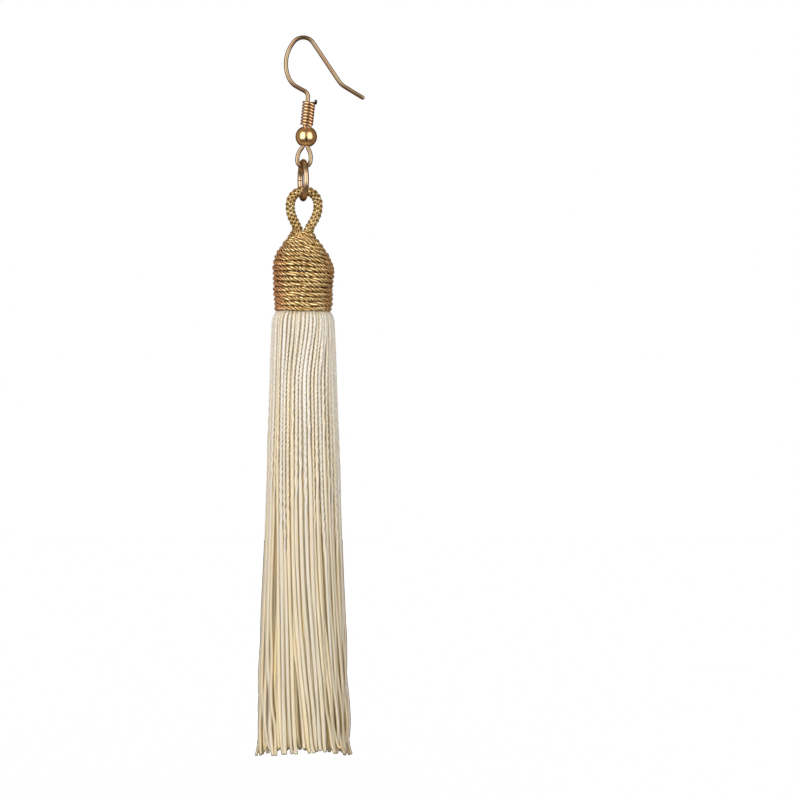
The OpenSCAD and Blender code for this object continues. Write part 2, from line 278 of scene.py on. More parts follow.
# The neck's crossed ties: angles round the neck, and each tie's height and lift there
TIES = [([-180, -130, -105, -85, -65, -40, 0, 60, 120, 180],
         [-28.55, -28.7, -29.1, -29.65, -30.25, -30.85, -31.1, -30.6, -29.3, -28.55],
         [0.42, 0.42, 0.42, 0.4, 0.3, 0.1, -0.35, -0.3, 0.3, 0.42]),
        ([-180, -150, -120, -100, -80, -50, 0, 60, 120, 180],
         [-30.5, -30.35, -29.6, -29.1, -28.9, -28.75, -28.7, -28.8, -29.8, -30.5],
         [0.1, 0.18, 0.3, 0.3, 0.25, 0.25, 0.2, 0.3, 0.2, 0.1])]

# Bound head of the threads: its depth in the cap in yarns, its top along the cap and its foot
HEAD_INSET = 0.62
HEAD_TOP = 0.9
HEAD_FOOT = 0.2
HEAD_BORE_R = 0.02
# Tone of the bound head, which with no crest takes the golden painted shade
HEAD_PAINTED_SHADE_TONE = 0.9

# Thread skirt
THREAD_R = 0.3
THREAD_LAY = 1.35
THREAD_PITCH = 0.57
THREAD_RINGS = 9
THREAD_RING_STEP = 0.45
THREAD_JITTER = 0.06
THREAD_SIZES = (0.88, 1.08)
SKIRT_DRIFT = 18.0
# Layers of rings that share their locks, with the threads a lock has in each ring
LOCK_LAYERS = [((0, 1), 3.4), ((2, 3), 3.0), (tuple(range(4, THREAD_RINGS)), 2.5)]
LOCK_WIDTHS = (0.6, 1.7)
LOCK_PHASE = 40
# Shares of the skirt's height where the threads are placed, and the one where it is full
SKIRT_LEVELS = np.array([0.0025, 0.009, 0.021, 0.04, 0.065, *np.linspace(0.1, 0.97, 22)])
FULL_LEVEL = 4
# How readily the threads of the first, the second and the other rings give way, and how much
# of a push they keep at the next level
GIVE = np.array([0.15, 0.3, 0.4])
PUSH_ROUNDS = 24
PUSH_KEPT = 0.9
# Room of a thread at the rim, as a share of its thickness, and what it gains lower down
RIM_ROOM = 0.82
ROOM_GAIN = 0.3
HEAD_GATHER = 0.68
HEAD_RISE = 0.5
LOCK_GATHER = 0.14
CROWDING = 0.45
SINK = 0.12
# Leans of the threads at the rim: degrees, and the middle and width of each in radians
RIM_LEANS = [(15, -1.35, 0.85), (-3, -2.6, 0.35)]
RIM_LEAN_END = 0.17
# Ends: their share of the height, how uneven they are, and how much higher the inner ones end
ENDS_LEVEL = 0.987
ENDS_UNEVEN = (-0.3, 0.45)
ENDS_WAVE = 0.25
INNER_ENDS_RISE = 0.7
# Tones of the first, the second and the inner rings, what chance adds, and the limit. The rings'
# tones paint a golden warm shade on the threads deeper in, and what chance adds is the threads' own
# uneven colour
RING_TONES = np.array([0, 0.65, 0.85])
TONE_CHANCE = 0.5
TONE_LIMIT = 0.9
# Shares of a thread's length: where its plies start to open, how long they take, and its thin end
PLIES_OPEN = (0.05, 0.35)
OPENING = 0.3
THIN_END = 0.04


def soft_step(value, low, high):
    """0 up to low and 1 from high on, with soft ends between them."""
    share = np.clip((value - low) / (high - low), 0, 1)
    return share**2 * (3 - 2 * share)


def waves(at, terms):
    """Sum of waves (height, pace, start) at places."""
    return sum(height * np.sin(at * pace + start) for height, pace, start in terms)


def unit(vectors):
    """The same vectors at length one."""
    return vectors / np.linalg.norm(vectors, axis=-1, keepdims=True)


def turned(angle, steps=1.0):
    """Cosine and sine of an angle in degrees, times a length."""
    return steps * np.cos(np.radians(angle)), steps * np.sin(np.radians(angle))


def bend_length(bend):
    """Length of a bend (turn, radius), or of a straight stretch (0, length)."""
    turn, size = bend
    return size if turn == 0 else abs(math.radians(turn)) * size


def moved(at, bend, share=1.0):
    """Where a share of a bend leads from a station (across, up, heading)."""
    across, up, heading = at
    turn, size = bend
    if turn == 0:
        return (across + share * size * math.cos(math.radians(heading)),
                up + share * size * math.sin(math.radians(heading)), heading)
    before = math.radians(heading)
    after = math.radians(heading + share * turn)
    side = math.copysign(size, turn)
    return (across + side * (math.sin(after) - math.sin(before)),
            up + side * (math.cos(before) - math.cos(after)), heading + share * turn)


def path_end(path, start):
    """The station at the end of a path of bends."""
    for bend in path:
        start = moved(start, bend)
    return start


def trace(path, start, step):
    """Stations along a path of bends, at most a step apart."""
    stations = [start]
    for bend in path:
        here = stations[-1]
        count = max(1, math.ceil(bend_length(bend) / step))
        stations += [moved(here, bend, (i + 1) / count) for i in range(count)]
    return np.array(stations)


def lengths_along(line):
    """Distance of each point of lines (..., n, 3) from the line's start."""
    steps = np.linalg.norm(np.diff(line, axis=-2), axis=-1)
    return np.concatenate([np.zeros_like(steps[..., :1]), np.cumsum(steps, axis=-1)], axis=-1)


def resampled(line, places):
    """Points of one line at the given distances from its start."""
    along = lengths_along(line)
    return np.stack([np.interp(places, along, line[:, k]) for k in range(line.shape[1])], axis=1)


def smooth_through(knots, at, wanted):
    """Values at wanted of smooth curves through knots (n, ...) given at places at."""
    slopes = np.gradient(knots, at, axis=0)
    i = np.clip(np.searchsorted(at, wanted) - 1, 0, len(at) - 2)
    shape = (-1,) + (1,) * (knots.ndim - 1)
    width = (at[i + 1] - at[i]).reshape(shape)
    t = (wanted - at[i]).reshape(shape) / width
    return ((2 * t**3 - 3 * t**2 + 1) * knots[i] + (t**3 - 2 * t**2 + t) * width * slopes[i]
            + (3 * t**2 - 2 * t**3) * knots[i + 1] + (t**3 - t**2) * width * slopes[i + 1])


def directions(lines, ref):
    """Along, outwards and sideways at each point of lines (..., n, 3). ref is never along."""
    along = unit(np.gradient(lines, axis=-2))
    out = unit(ref - (ref * along).sum(-1, keepdims=True) * along)
    return along, out, np.cross(along, out)


def plied(count, ply_r, sides):
    """Section of a yarn of so many plies, as shares of its radius. ply_r is a share too."""
    offset = 1 - ply_r
    off = 2 * np.pi * np.arange(sides) / sides
    off = np.abs((off + np.pi / count) % (2 * np.pi / count) - np.pi / count)
    return offset * np.cos(off) + np.sqrt(ply_r**2 - (offset * np.sin(off))**2)


def sweep(lines, ref, radius, shares, twist=0.0, tone=0.5, core=None):
    """Tubes along lines (m, n, 3), or along one line. shares is the section, as shares of the
    radius round it, and twist turns it, in radians. tone picks a shade for each line. The
    crest of a point is its height in the section, or above the braid's core where a middle
    line is given for it. It runs from 0 to 1."""
    lines = lines if lines.ndim == 3 else lines[None]
    _, out, side = directions(lines, ref)
    seat = 2 * np.pi * np.arange(shares.shape[-1]) / shares.shape[-1]
    turn = seat + np.broadcast_to(twist, lines.shape[:2])[..., None]
    reach = shares * np.broadcast_to(radius, lines.shape[:2])[..., None]
    points = (lines[:, :, None] + (reach * np.cos(turn))[..., None] * out[:, :, None]
              + (reach * np.sin(turn))[..., None] * side[:, :, None])
    start = np.arange(len(lines))[:, None, None] * GRAIN_SHIFT
    along = np.broadcast_to(lengths_along(lines)[..., None] + start, points.shape[:3])
    grain = np.stack([reach * np.cos(seat), reach * np.sin(seat), along], axis=-1)
    tones = np.broadcast_to(np.reshape(tone, (-1, 1, 1)), points.shape[:3])
    if core is None:
        crest = np.broadcast_to(shares, points.shape[:3])
    else:
        height = np.linalg.norm(points - core[..., None, :], axis=-1) - BRAID_CORE_R
        crest = np.clip(height, 0, None)
    crest = (crest - crest.min()) / max(np.ptp(crest), 1e-6)
    return {"points": points, "grain": grain, "tone": tones, "crest": crest, "closed": False}


def lathe(profile, place, sides):
    """A turned body. profile is a loop of (radius, height), and place puts (m, 3) points
    round the Z axis where they belong."""
    seat = 2 * np.pi * np.arange(sides) / sides
    radius, height = profile[:, :1], np.broadcast_to(profile[:, 1:], (len(profile), sides))
    local = np.stack([radius * np.cos(seat), radius * np.sin(seat), height], axis=-1)
    points = place(local.reshape(-1, 3)).reshape(1, len(profile), sides, 3)
    half = np.full(points.shape[:3], 0.5)
    return {"points": points, "grain": local[None], "tone": half, "crest": half, "closed": True}


def faces_of(part, first):
    """Quads and end faces of tubes, or of a turned body, whose points start at an index."""
    count, rings, sides, _ = part["points"].shape
    index = first + np.arange(count * rings * sides).reshape(count, rings, sides)
    ahead = np.roll(index, -1, axis=2)
    if part["closed"]:
        onward, onward_ahead = np.roll(index, -1, axis=1), np.roll(ahead, -1, axis=1)
        quads = np.stack([index, ahead, onward_ahead, onward], axis=-1)
        return quads.reshape(-1, 4), np.zeros((0, sides), int)
    quads = np.stack([index[:, :-1], ahead[:, :-1], ahead[:, 1:], index[:, 1:]], axis=-1)
    ends = np.concatenate([index[:, 0, ::-1], index[:, -1]])
    return quads.reshape(-1, 4), ends


def add_piece(name, parts, shader, body, nodes):
    """One mesh made of swept or turned parts, riding on a body and standing for CAD nodes."""
    corners, sizes = [], []
    first = 0
    for part in parts:
        quads, ends = faces_of(part, first)
        first += part["points"].size // 3
        corners += [quads.ravel(), ends.ravel()]
        sizes += [np.full(len(quads), 4), np.full(len(ends), ends.shape[1])]
    corners, sizes = np.concatenate(corners), np.concatenate(sizes)
    mesh = bpy.data.meshes.new(name)
    mesh.vertices.add(first)
    points = np.concatenate([part["points"].reshape(-1, 3) for part in parts])
    mesh.vertices.foreach_set("co", (points * MM).astype(np.float32).ravel())
    mesh.loops.add(len(corners))
    mesh.loops.foreach_set("vertex_index", corners.astype(np.int32))
    mesh.polygons.add(len(sizes))
    mesh.polygons.foreach_set("loop_start", (np.cumsum(sizes) - sizes).astype(np.int32))
    mesh.polygons.foreach_set("use_smooth", sizes == 4)
    mesh.update(calc_edges=True)
    for key in ("grain", "tone", "crest"):
        values = np.concatenate([part[key].ravel() for part in parts]).astype(np.float32)
        kind, field = ("FLOAT_VECTOR", "vector") if key == "grain" else ("FLOAT", "value")
        mesh.attributes.new(key, kind, "POINT").data.foreach_set(field, values)
    mesh.materials.append(shader)
    piece = bpy.data.objects.new(name, mesh)
    bpy.context.scene.collection.objects.link(piece)
    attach(piece, body)
    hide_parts(*nodes)


# Materials


def new_shader(name, **settings):
    """A Principled material with settings such as Roughness=0.3, and its Principled node."""
    material = bpy.data.materials.new(name)
    material.use_nodes = True
    principled = material.node_tree.nodes["Principled BSDF"]
    for socket, value in settings.items():
        principled.inputs[socket.replace("_", " ")].default_value = value
    return material, principled


def add_node(tree, kind, links=None, **settings):
    """A node of a kind. links feed its sockets, and settings are its properties."""
    node = tree.nodes.new(kind)
    for setting, value in settings.items():
        setattr(node, setting, value)
    for socket, source in (links or {}).items():
        if isinstance(source, bpy.types.NodeSocket):
            tree.links.new(source, node.inputs[socket])
        else:
            node.inputs[socket].default_value = source
    return node


def grain_noise(tree, scale, detail):
    """Noise over the grain of the mesh, finer in a direction where the scale is larger."""
    grain = add_node(tree, "ShaderNodeAttribute", attribute_name="grain").outputs["Vector"]
    scaled = add_node(tree, "ShaderNodeMapping", {"Vector": grain, "Scale": scale}).outputs[0]
    links = {"Vector": scaled, "Scale": 1.0, "Detail": detail}
    return add_node(tree, "ShaderNodeTexNoise", links).outputs["Fac"]


def mixed(tree, share, first, second):
    """A colour between two colours."""
    links = {0: share, 6: first, 7: second}
    return add_node(tree, "ShaderNodeMix", links, data_type="RGBA").outputs[2]


def ranged(tree, value, low, high, to_low=0.0, to_high=1.0):
    """A value mapped from one range to another, with soft ends."""
    links = {"Value": value, 1: low, 2: high, 3: to_low, 4: to_high}
    return add_node(tree, "ShaderNodeMapRange", links, interpolation_type="SMOOTHSTEP").outputs[0]


def maths(tree, operation, first, second=0.0):
    """The result of an operation on one or two values."""
    return add_node(tree, "ShaderNodeMath", {0: first, 1: second}, operation=operation).outputs[0]


def attribute(tree, name):
    """The value that the mesh keeps under a name."""
    return add_node(tree, "ShaderNodeAttribute", attribute_name=name).outputs["Fac"]


def position(tree, axis):
    """A coordinate of a point in the rest position, in metres."""
    place = add_node(tree, "ShaderNodeTexCoord").outputs["Object"]
    return add_node(tree, "ShaderNodeSeparateXYZ", {0: place}).outputs[axis]


def feed(material, principled, colour, roughness, height, strength):
    """Links a colour, a roughness and a bump height to a material."""
    tree = material.node_tree
    tree.links.new(colour, principled.inputs["Base Color"])
    tree.links.new(roughness, principled.inputs["Roughness"])
    links = {"Height": height, "Strength": strength, "Distance": 0.02 * MM}
    bump = add_node(tree, "ShaderNodeBump", links)
    tree.links.new(bump.outputs[0], principled.inputs["Normal"])
    return material


def metal_shader(name, colour, warm_colour, roughness, lines_scale=DRAWN):
    """Polished plated metal: faint lines and stretches of a warmer tint. A tone over 0.5 darkens it
    to a near black brown."""
    material, principled = new_shader(name, Metallic=1.0, Specular_Tint=METAL_EDGE)
    tree = material.node_tree
    stretches = grain_noise(tree, (0.5, 0.5, 0.35), 2.0)
    tint = mixed(tree, ranged(tree, stretches, 0.35, 0.65), colour, warm_colour)
    darkened = ranged(tree, attribute(tree, "tone"), 0.5, 1.0)
    tint = mixed(tree, darkened, tint, DARK_END_METAL)
    lines = grain_noise(tree, lines_scale, 3.0)
    rough = ranged(tree, lines, 0.3, 0.7, roughness, roughness + 0.08)
    return feed(material, principled, tint, rough, lines, 0.04)


def yarn_shader():
    """Gold yarn: metallic fibres with random pale patches, partly its own uneven colour and partly
    painted glints, a painted brown shade in the grooves, a painted warm reflection in copper at the
    left and right sides, and duller the higher the tone."""
    material, principled = new_shader("gold_yarn_fibre", Metallic=0.72)
    tree = material.node_tree
    fibres = grain_noise(tree, (22.0, 22.0, 2.2), 2.0)
    # Random pale patches on the yarn, partly its own uneven colour and partly painted glints
    painted_glints = grain_noise(tree, (2.0, 2.0, 1.5), 1.0)
    gold = mixed(tree, ranged(tree, painted_glints, 0.35, 0.65), YARN_GOLD, YARN_PALE)
    # A warm reflection painted in copper on the yarn towards the earring's left and right sides
    across = position(tree, "X")
    left, right = [[edge * MM for edge in edges] for edges in (LEFT_PAINTED_REFLECTION_X, RIGHT_PAINTED_REFLECTION_X)]
    sides = maths(tree, "MAXIMUM", ranged(tree, across, *left, LEFT_PAINTED_REFLECTION, 0.0),
                  ranged(tree, across, *right, 0.0, RIGHT_PAINTED_REFLECTION))
    painted_reflection = mixed(tree, sides, gold, YARN_PAINTED_REFLECTION)
    dulled = mixed(tree, attribute(tree, "tone"), painted_reflection, YARN_DULL)
    # Painted shade: the yarn turns brown in its grooves, between plies and strands and where it
    # faces into the cap
    crest = ranged(tree, attribute(tree, "crest"), 0.15, 0.95)
    deep = mixed(tree, crest, YARN_PAINTED_GROOVE_SHADE, dulled)
    streaked = mixed(tree, ranged(tree, fibres, 0.45, 0.8, 0.0, 0.5), deep, YARN_STREAK)
    rough = ranged(tree, fibres, 0.2, 0.8, 0.2, 0.36)
    return feed(material, principled, streaked, rough, fibres, 0.3)


def thread_shader():
    """Cream thread: lustrous fibres along each ply, with a golden painted shade on its sides,
    painted darker towards the bottom and at the ends as shade, and more golden the higher the tone,
    which on the rings deep in the skirt is a painted warm shade of the gaps."""
    material, principled = new_shader(
        "cream_thread_fibre", IOR=1.9, Coat_Weight=0.5, Coat_Roughness=0.3, Subsurface_Weight=0.3,
        Subsurface_Radius=(1.0, 0.7, 0.35), Subsurface_Scale=0.4 * MM)
    tree = material.node_tree
    fibres = grain_noise(tree, (10.0, 10.0, 0.4), 2.0)
    stretches = grain_noise(tree, (0.3, 0.3, 0.06), 1.0)
    height = position(tree, "Z")

    def up(low, high, to_low=0.0, to_high=1.0):
        return ranged(tree, height, low * MM, high * MM, to_low, to_high)

    # Painted shade: the cream is darker towards the bottom and at the ends
    cream = mixed(tree, up(*CREAM_Z), CREAM_LOW_PAINTED_SHADE, CREAM_HIGH)
    outside = mixed(tree, up(*END_Z, 0.8, 0.0), cream, CREAM_END_PAINTED_SHADE)
    # Golden painted warm shade on the threads deeper in the skirt, by their tone
    inside = mixed(tree, up(*INSIDE_Z), INSIDE_PAINTED_SHADE_LOW, INSIDE_PAINTED_SHADE_HIGH)
    shade = mixed(tree, attribute(tree, "tone"), outside, inside)
    patches = ranged(tree, stretches, 0.38, 0.64, 0.0, 0.6)
    patchy = mixed(tree, patches, shade, THREAD_PATCH)
    # Painted shade, golden, on each thread's sides that face away from the outside of the skirt
    painted_shade = ranged(tree, attribute(tree, "crest"), 0.0, 0.9, 0.68, 0.0)
    twisted = mixed(tree, painted_shade, patchy, THREAD_PAINTED_SHADE)
    # Lower down the fibres of a thread part into coarser streaks
    coarse = ranged(tree, grain_noise(tree, (5.0, 5.0, 0.1), 1.0), 0.42, 0.6)
    loose = maths(tree, "MULTIPLY", coarse, up(*PARTED_Z, 0.7, 0.2))
    parted = mixed(tree, loose, twisted, THREAD_PARTED)
    streaked = mixed(tree, ranged(tree, fibres, 0.42, 0.72, 0.0, 0.35), parted, THREAD_STREAK)
    rough = ranged(tree, fibres, 0.2, 0.8, 0.28, 0.44)
    return feed(material, principled, streaked, rough, fibres, 0.2)


# Ear wire with its eye


def on_stem(points):
    """Moves points round the stem's own axis, measured up from the eye, into the frame."""
    lean = math.radians(STEM_LEAN)
    x, y, z = np.moveaxis(points, -1, 0)
    return np.stack([x * math.cos(lean) + z * math.sin(lean), y,
                     z * math.cos(lean) - x * math.sin(lean) - HOOK_HEIGHT], axis=-1)


EYE_BEND = 1 - turned(EYE_SPREAD)[0]
EYE_LEG = (EYE_R - LEG_X - (EYE_NECK_R + EYE_SHOULDER_R) * EYE_BEND) / turned(EYE_SPREAD)[1]
EYE_HEIGHT = (EYE_R + EYE_SIDE + (EYE_NECK_R + EYE_SHOULDER_R) * turned(EYE_SPREAD)[1]
              + EYE_LEG * turned(EYE_SPREAD)[0])
BORE_R = LEG_X + WIRE_R + BALL_CLEAR
BALL_HEIGHT = EYE_HEIGHT - SPREAD_DEPTH + math.sqrt(BALL_R**2 - BORE_R**2)
COIL_DEPTH = WIRE_R + COIL_CLEAR + COIL_R
COIL_LOW = BALL_HEIGHT + math.sqrt((BALL_R + COIL_CLEAR + COIL_R)**2 - (LEG_X + COIL_DEPTH)**2)
COIL_HIGH = COIL_LOW + COIL_TURNS * COIL_PITCH


def ear_wire_stations():
    """The ear wire's middle line, from the cut end inside the coil to the tip."""
    eye_path = [(0, COIL_HIGH - COIL_PITCH - EYE_HEIGHT), (EYE_SPREAD, EYE_NECK_R), (0, EYE_LEG),
                (-EYE_SPREAD, EYE_SHOULDER_R), (0, EYE_SIDE), (-180, EYE_R), (0, EYE_SIDE),
                (-EYE_SPREAD, EYE_SHOULDER_R), (0, EYE_LEG), (EYE_SPREAD, EYE_NECK_R)]
    stem_bend = (ELBOW_HEADING - STEM_HEADING, STEM_BEND_R)
    front = [(BOW_HEADING - ELBOW_HEADING, ELBOW_R), (ARCH_HEADING - BOW_HEADING, BOW_R),
             (-ARCH_HEADING, ARCH_R)]
    foot = on_stem(np.array([-LEG_X, 0, EYE_HEIGHT]))
    bent = np.array(moved((0, 0, STEM_HEADING), stem_bend))
    over = bent + path_end(front, (0, 0, ELBOW_HEADING))
    reach_x = -foot[0] - over[0]
    reach_z = WIRE_R - foot[2] - over[1]
    stem, elbow = turned(STEM_HEADING), turned(ELBOW_HEADING)
    lean_sine = turned(ELBOW_HEADING - STEM_HEADING)[1]
    stem_len = (reach_x * elbow[1] - reach_z * elbow[0]) / lean_sine
    cross_len = (reach_z * stem[0] - reach_x * stem[1]) / lean_sine
    path = eye_path + [(0, stem_len), stem_bend, (0, cross_len)] + front + [
        (TAIL_HEADING, ARCH_R), (0, TAIL_LEN), (TIP_HEADING - TAIL_HEADING, KINK_R), (0, TIP_LEN)]
    start = on_stem(np.array([LEG_X, 0, COIL_HIGH - COIL_PITCH]))
    return trace(path, (start[0], start[2], STEM_HEADING - 180), step=0.14)


def round_ended(line, radius, ends):
    """A line and its radii, with extra rings so that the named ends are rounded."""
    whole = lengths_along(line)[-1]
    close = radius * (1 - np.cos(np.radians(END_ANGLES)))
    swell = np.sqrt(radius**2 - (radius - close)**2)
    places = lengths_along(line)
    reach = np.full(len(places), radius)
    for end in ends:
        edge = close if end == "start" else whole - close
        inside = places > radius if end == "start" else places < whole - radius
        places, reach = places[inside], reach[inside]
        order = np.argsort(np.concatenate([edge, places]))
        places = np.concatenate([edge, places])[order]
        reach = np.concatenate([swell, reach])[order]
    return resampled(line, places), reach


def add_ear_wire(shader):
    """The bent wire from the eye over the ear lobe to its rounded tip."""
    stations = ear_wire_stations()
    line = np.stack([stations[:, 0], np.zeros(len(stations)), stations[:, 1]], axis=1)
    line, radius = round_ended(line, WIRE_R, ["start", "end"])
    part = sweep(line, Y_AXIS, radius, ROUND_WIRE)
    add_piece("ear_wire_bent", [part], shader, "hook", ["ear_wire"])


def add_coil(shader):
    """Fine wire wound round both legs, with its cut end standing up."""
    turn = np.linspace(0, 2 * np.pi * COIL_TURNS, COIL_TURN_POINTS * COIL_TURNS + 1)
    # Each turn runs nearly level, and steps down in front of the right leg
    full, part = np.divmod(turn / (2 * np.pi), 1)
    stepped = COIL_EVEN_FALL * part + (1 - COIL_EVEN_FALL) * soft_step(part, *COIL_STEP_DOWN)
    height = COIL_HIGH - COIL_PITCH * (full + stepped + COIL_START)
    winding = np.stack([(LEG_X + COIL_DEPTH) * np.cos(turn), COIL_FRONT * np.sin(turn), height],
                       axis=1)
    bend = np.radians(np.linspace(0, 80, 9))
    corner = np.stack([0 * bend, 1 - np.cos(bend), 1 - np.sin(bend)], axis=1)
    top = winding[0] + [0, 0, COIL_END]
    # Beside the right leg each turn runs straight, and cuts into the leg's outer side
    round_part = winding[(part > COIL_ROUND_PART[0]) & (part < COIL_ROUND_PART[1])]
    line = np.concatenate([[top], winding[0] + COIL_CORNER_R * corner, round_part])
    line = resampled(line, np.linspace(0, lengths_along(line)[-1], COIL_RINGS))
    line, radius = round_ended(on_stem(line), COIL_R, ["start"])
    # A direction that the wire never runs along
    ref = on_stem(np.array([0.3, 0.1, 1.0])) - on_stem(np.zeros(3))
    part = sweep(line, ref, radius, FINE_WIRE)
    # The wire is coloured near black brown over a short length from its cut end
    part["tone"] = 0.5 + 0.5 * np.clip(COIL_DARK_LEN - part["grain"][..., 2], 0, 1)
    add_piece("wire_coil_wound", [part], shader, "hook", ["wire_coil"])


def add_ball(shader):
    """The hollow ball that both legs of the eye run through."""
    rim = math.asin((BORE_R + BALL_EDGE) / BALL_R)
    outside = np.linspace(rim, math.pi - rim, 61)
    shell = BALL_R * np.stack([np.sin(outside), np.cos(outside)], axis=1)
    edge = math.sqrt(BALL_R**2 - BORE_R**2) - BALL_EDGE
    bore = np.stack([np.full(9, BORE_R), np.linspace(-edge, edge, 9)], axis=1)
    profile = np.concatenate([shell, bore])[::-1]
    part = lathe(profile, lambda points: on_stem(points + [0, 0, BALL_HEIGHT]), sides=96)
    add_piece("ball_polished", [part], shader, "hook", ["ball_bead"])


def add_jump_ring(shader):
    """The ring that links the eye to the cord loop, cut at the back."""
    slit = math.degrees(RING_SLIT / RING_R)
    seat = np.radians(np.linspace(slit / 2, 360 - slit / 2, 145))
    yaw = math.radians(RING_YAW)
    level = np.array([-math.sin(yaw), math.cos(yaw), 0])
    line = RING_R * (np.cos(seat)[:, None] * level + np.sin(seat)[:, None] * Z_AXIS)
    line[:, 2] += JOINT_AT["tassel_swing"][2] / MM + RING_R
    part = sweep(line, np.array([math.cos(yaw), math.sin(yaw), 0]), RING_WIRE_R, ROUND_WIRE)
    add_piece("jump_ring_bent", [part], shader, "ring", ["jump_ring"])


# Cord loop and cap

CAP_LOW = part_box("wound_cap")[0] / MM
CAP_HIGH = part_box("wound_cap")[1] / MM
ROW_FIRST = (CAP_TOP_R, CAP_HIGH.z - YARN_R, CAP_SLOPE - 90)
NECK_Z = ROW_FIRST[1] + 0.4 * YARN_R


def in_loop(points):
    """Puts points of the upright cord loop where it leans above the cap."""
    lean = math.radians(LOOP_LEAN)
    x, y, z = np.moveaxis(points, -1, 0)
    return np.stack([x * math.cos(lean) + z * math.sin(lean), y,
                     z * math.cos(lean) - x * math.sin(lean) + NECK_Z], axis=-1)


def add_cord_loop(shader):
    """A round braid of eight gold yarns from inside the cap, over the ring and back."""
    leg_x = BOUND_CORD_R + LINK_GAP / 2
    bends = LOOP_NECK_R + LOOP_SHOULDER_R
    leg = (LOOP_R - leg_x - bends * (1 - turned(LOOP_TAPER)[0])) / turned(LOOP_TAPER)[1]
    half = [(0, LOOP_ROOT), (LOOP_TAPER, LOOP_NECK_R), (0, leg), (-LOOP_TAPER, LOOP_SHOULDER_R),
            (0, LOOP_SIDE)]
    path = half + [(-180, LOOP_R)] + half[::-1]
    stations = trace(path, (-leg_x, -LOOP_ROOT, 90), step=0.05)
    middle = np.stack([stations[:, 0], np.zeros(len(stations)), stations[:, 1]], axis=1)
    whole = lengths_along(middle)[-1]
    places = np.linspace(0, whole, CORD_RINGS)
    middle = resampled(middle, places)
    _, _, across = directions(middle, Y_AXIS)
    free = np.clip((np.minimum(places, whole - places) - LOOP_ROOT) / LOOP_SWELL, 0, 1)**2
    outer = BOUND_CORD_R + (CORD_R - BOUND_CORD_R) * free
    core = in_loop(middle)
    parts = []
    for way in (1, -1):
        for strand in range(BRAID_STRANDS_A_WAY):
            # Strands of one way pass over and under those of the other way
            turn = 2 * np.pi * (way * places / BRAID_LAY + strand / BRAID_STRANDS_A_WAY)
            weave = way * BRAID_WEAVE * np.cos(BRAID_STRANDS_A_WAY * turn)
            swing = outer - BRAID_STRAND_R - BRAID_WEAVE + weave
            off = np.cos(turn)[:, None] * Y_AXIS + np.sin(turn)[:, None] * across
            line = in_loop(middle + swing[:, None] * off)
            ref = in_loop(off) - in_loop(np.zeros(3))
            tone = RANDOM.uniform(0.3, 0.8)
            # A strand's height above the braid's core sets the painted groove shade between the
            # strands
            parts.append(sweep(line, ref, BRAID_STRAND_R, ROUND_STRAND, tone=tone, core=core))
    add_piece("cord_loop_braid", parts, shader, "tassel", ["cord_loop"])


def cap_profile():
    """Middle of the cap's yarn as stations (radius, z), from the top row to the rim."""
    wide_r = CAP_HIGH.x - YARN_R
    bulge = CAP_SHOULDER_R * (1 - turned(CAP_SLOPE)[0])
    slope_len = (wide_r - ROW_FIRST[0] - bulge) / turned(CAP_SLOPE)[1]
    shoulder = trace([(0, slope_len), (-CAP_SLOPE, CAP_SHOULDER_R)], ROW_FIRST, step=0.1)
    rim = (CAP_RIM_R - YARN_R, CAP_LOW.z + YARN_R, 0)
    return np.concatenate([shoulder, [rim]])[:, :2]


def up_cap(height):
    """0 at heights where the cap's side is upright, and 1 at its first row."""
    return np.clip((height - CAP_LEVEL_Z) / (ROW_FIRST[1] - CAP_LEVEL_Z), 0, 1)


def wound_yarn(line, radius, tone):
    """A yarn of four plies along a line, as uneven as a hand winds it."""
    line = resampled(line, np.arange(0, lengths_along(line)[-1], YARN_LAY / 16))
    along = lengths_along(line)
    twist = 2 * np.pi * along / YARN_LAY + waves(along, TWIST_WAVES)
    thick = radius * (1 + waves(along, THICK_WAVES))
    return sweep(line, Z_AXIS, thick, plied(4, 0.46, 24), twist, tone)


def facing_out(points):
    """How far each point of the cap's yarn faces out of the cap, from 0 to 1."""
    middle = points.mean(axis=2, keepdims=True)
    tilt = np.radians(CAP_SLOPE) * up_cap(middle[..., 2])
    reach = np.linalg.norm(points[..., :2], axis=-1) - np.linalg.norm(middle[..., :2], axis=-1)
    rise = reach * np.cos(tilt) + (points[..., 2] - middle[..., 2]) * np.sin(tilt)
    return soft_step(rise / YARN_R, 0.2, 0.7)


def ring_line(radius, seat, height):
    """Points of a line round the Z axis, from its radii, angles and heights."""
    return np.stack([radius * np.cos(seat), radius * np.sin(seat), height], axis=1)


def tie_line(profile, angle, height, lift):
    """A tie's middle line, lifted off the cap's rows or off the loop's roots above them."""
    outline = np.concatenate([[[CROWN_R, ROW_FIRST[1] + CROWN_RISE]], profile])
    radius = np.interp(-height, -outline[:, 1], outline[:, 0]) + lift
    return ring_line(radius, angle, height)


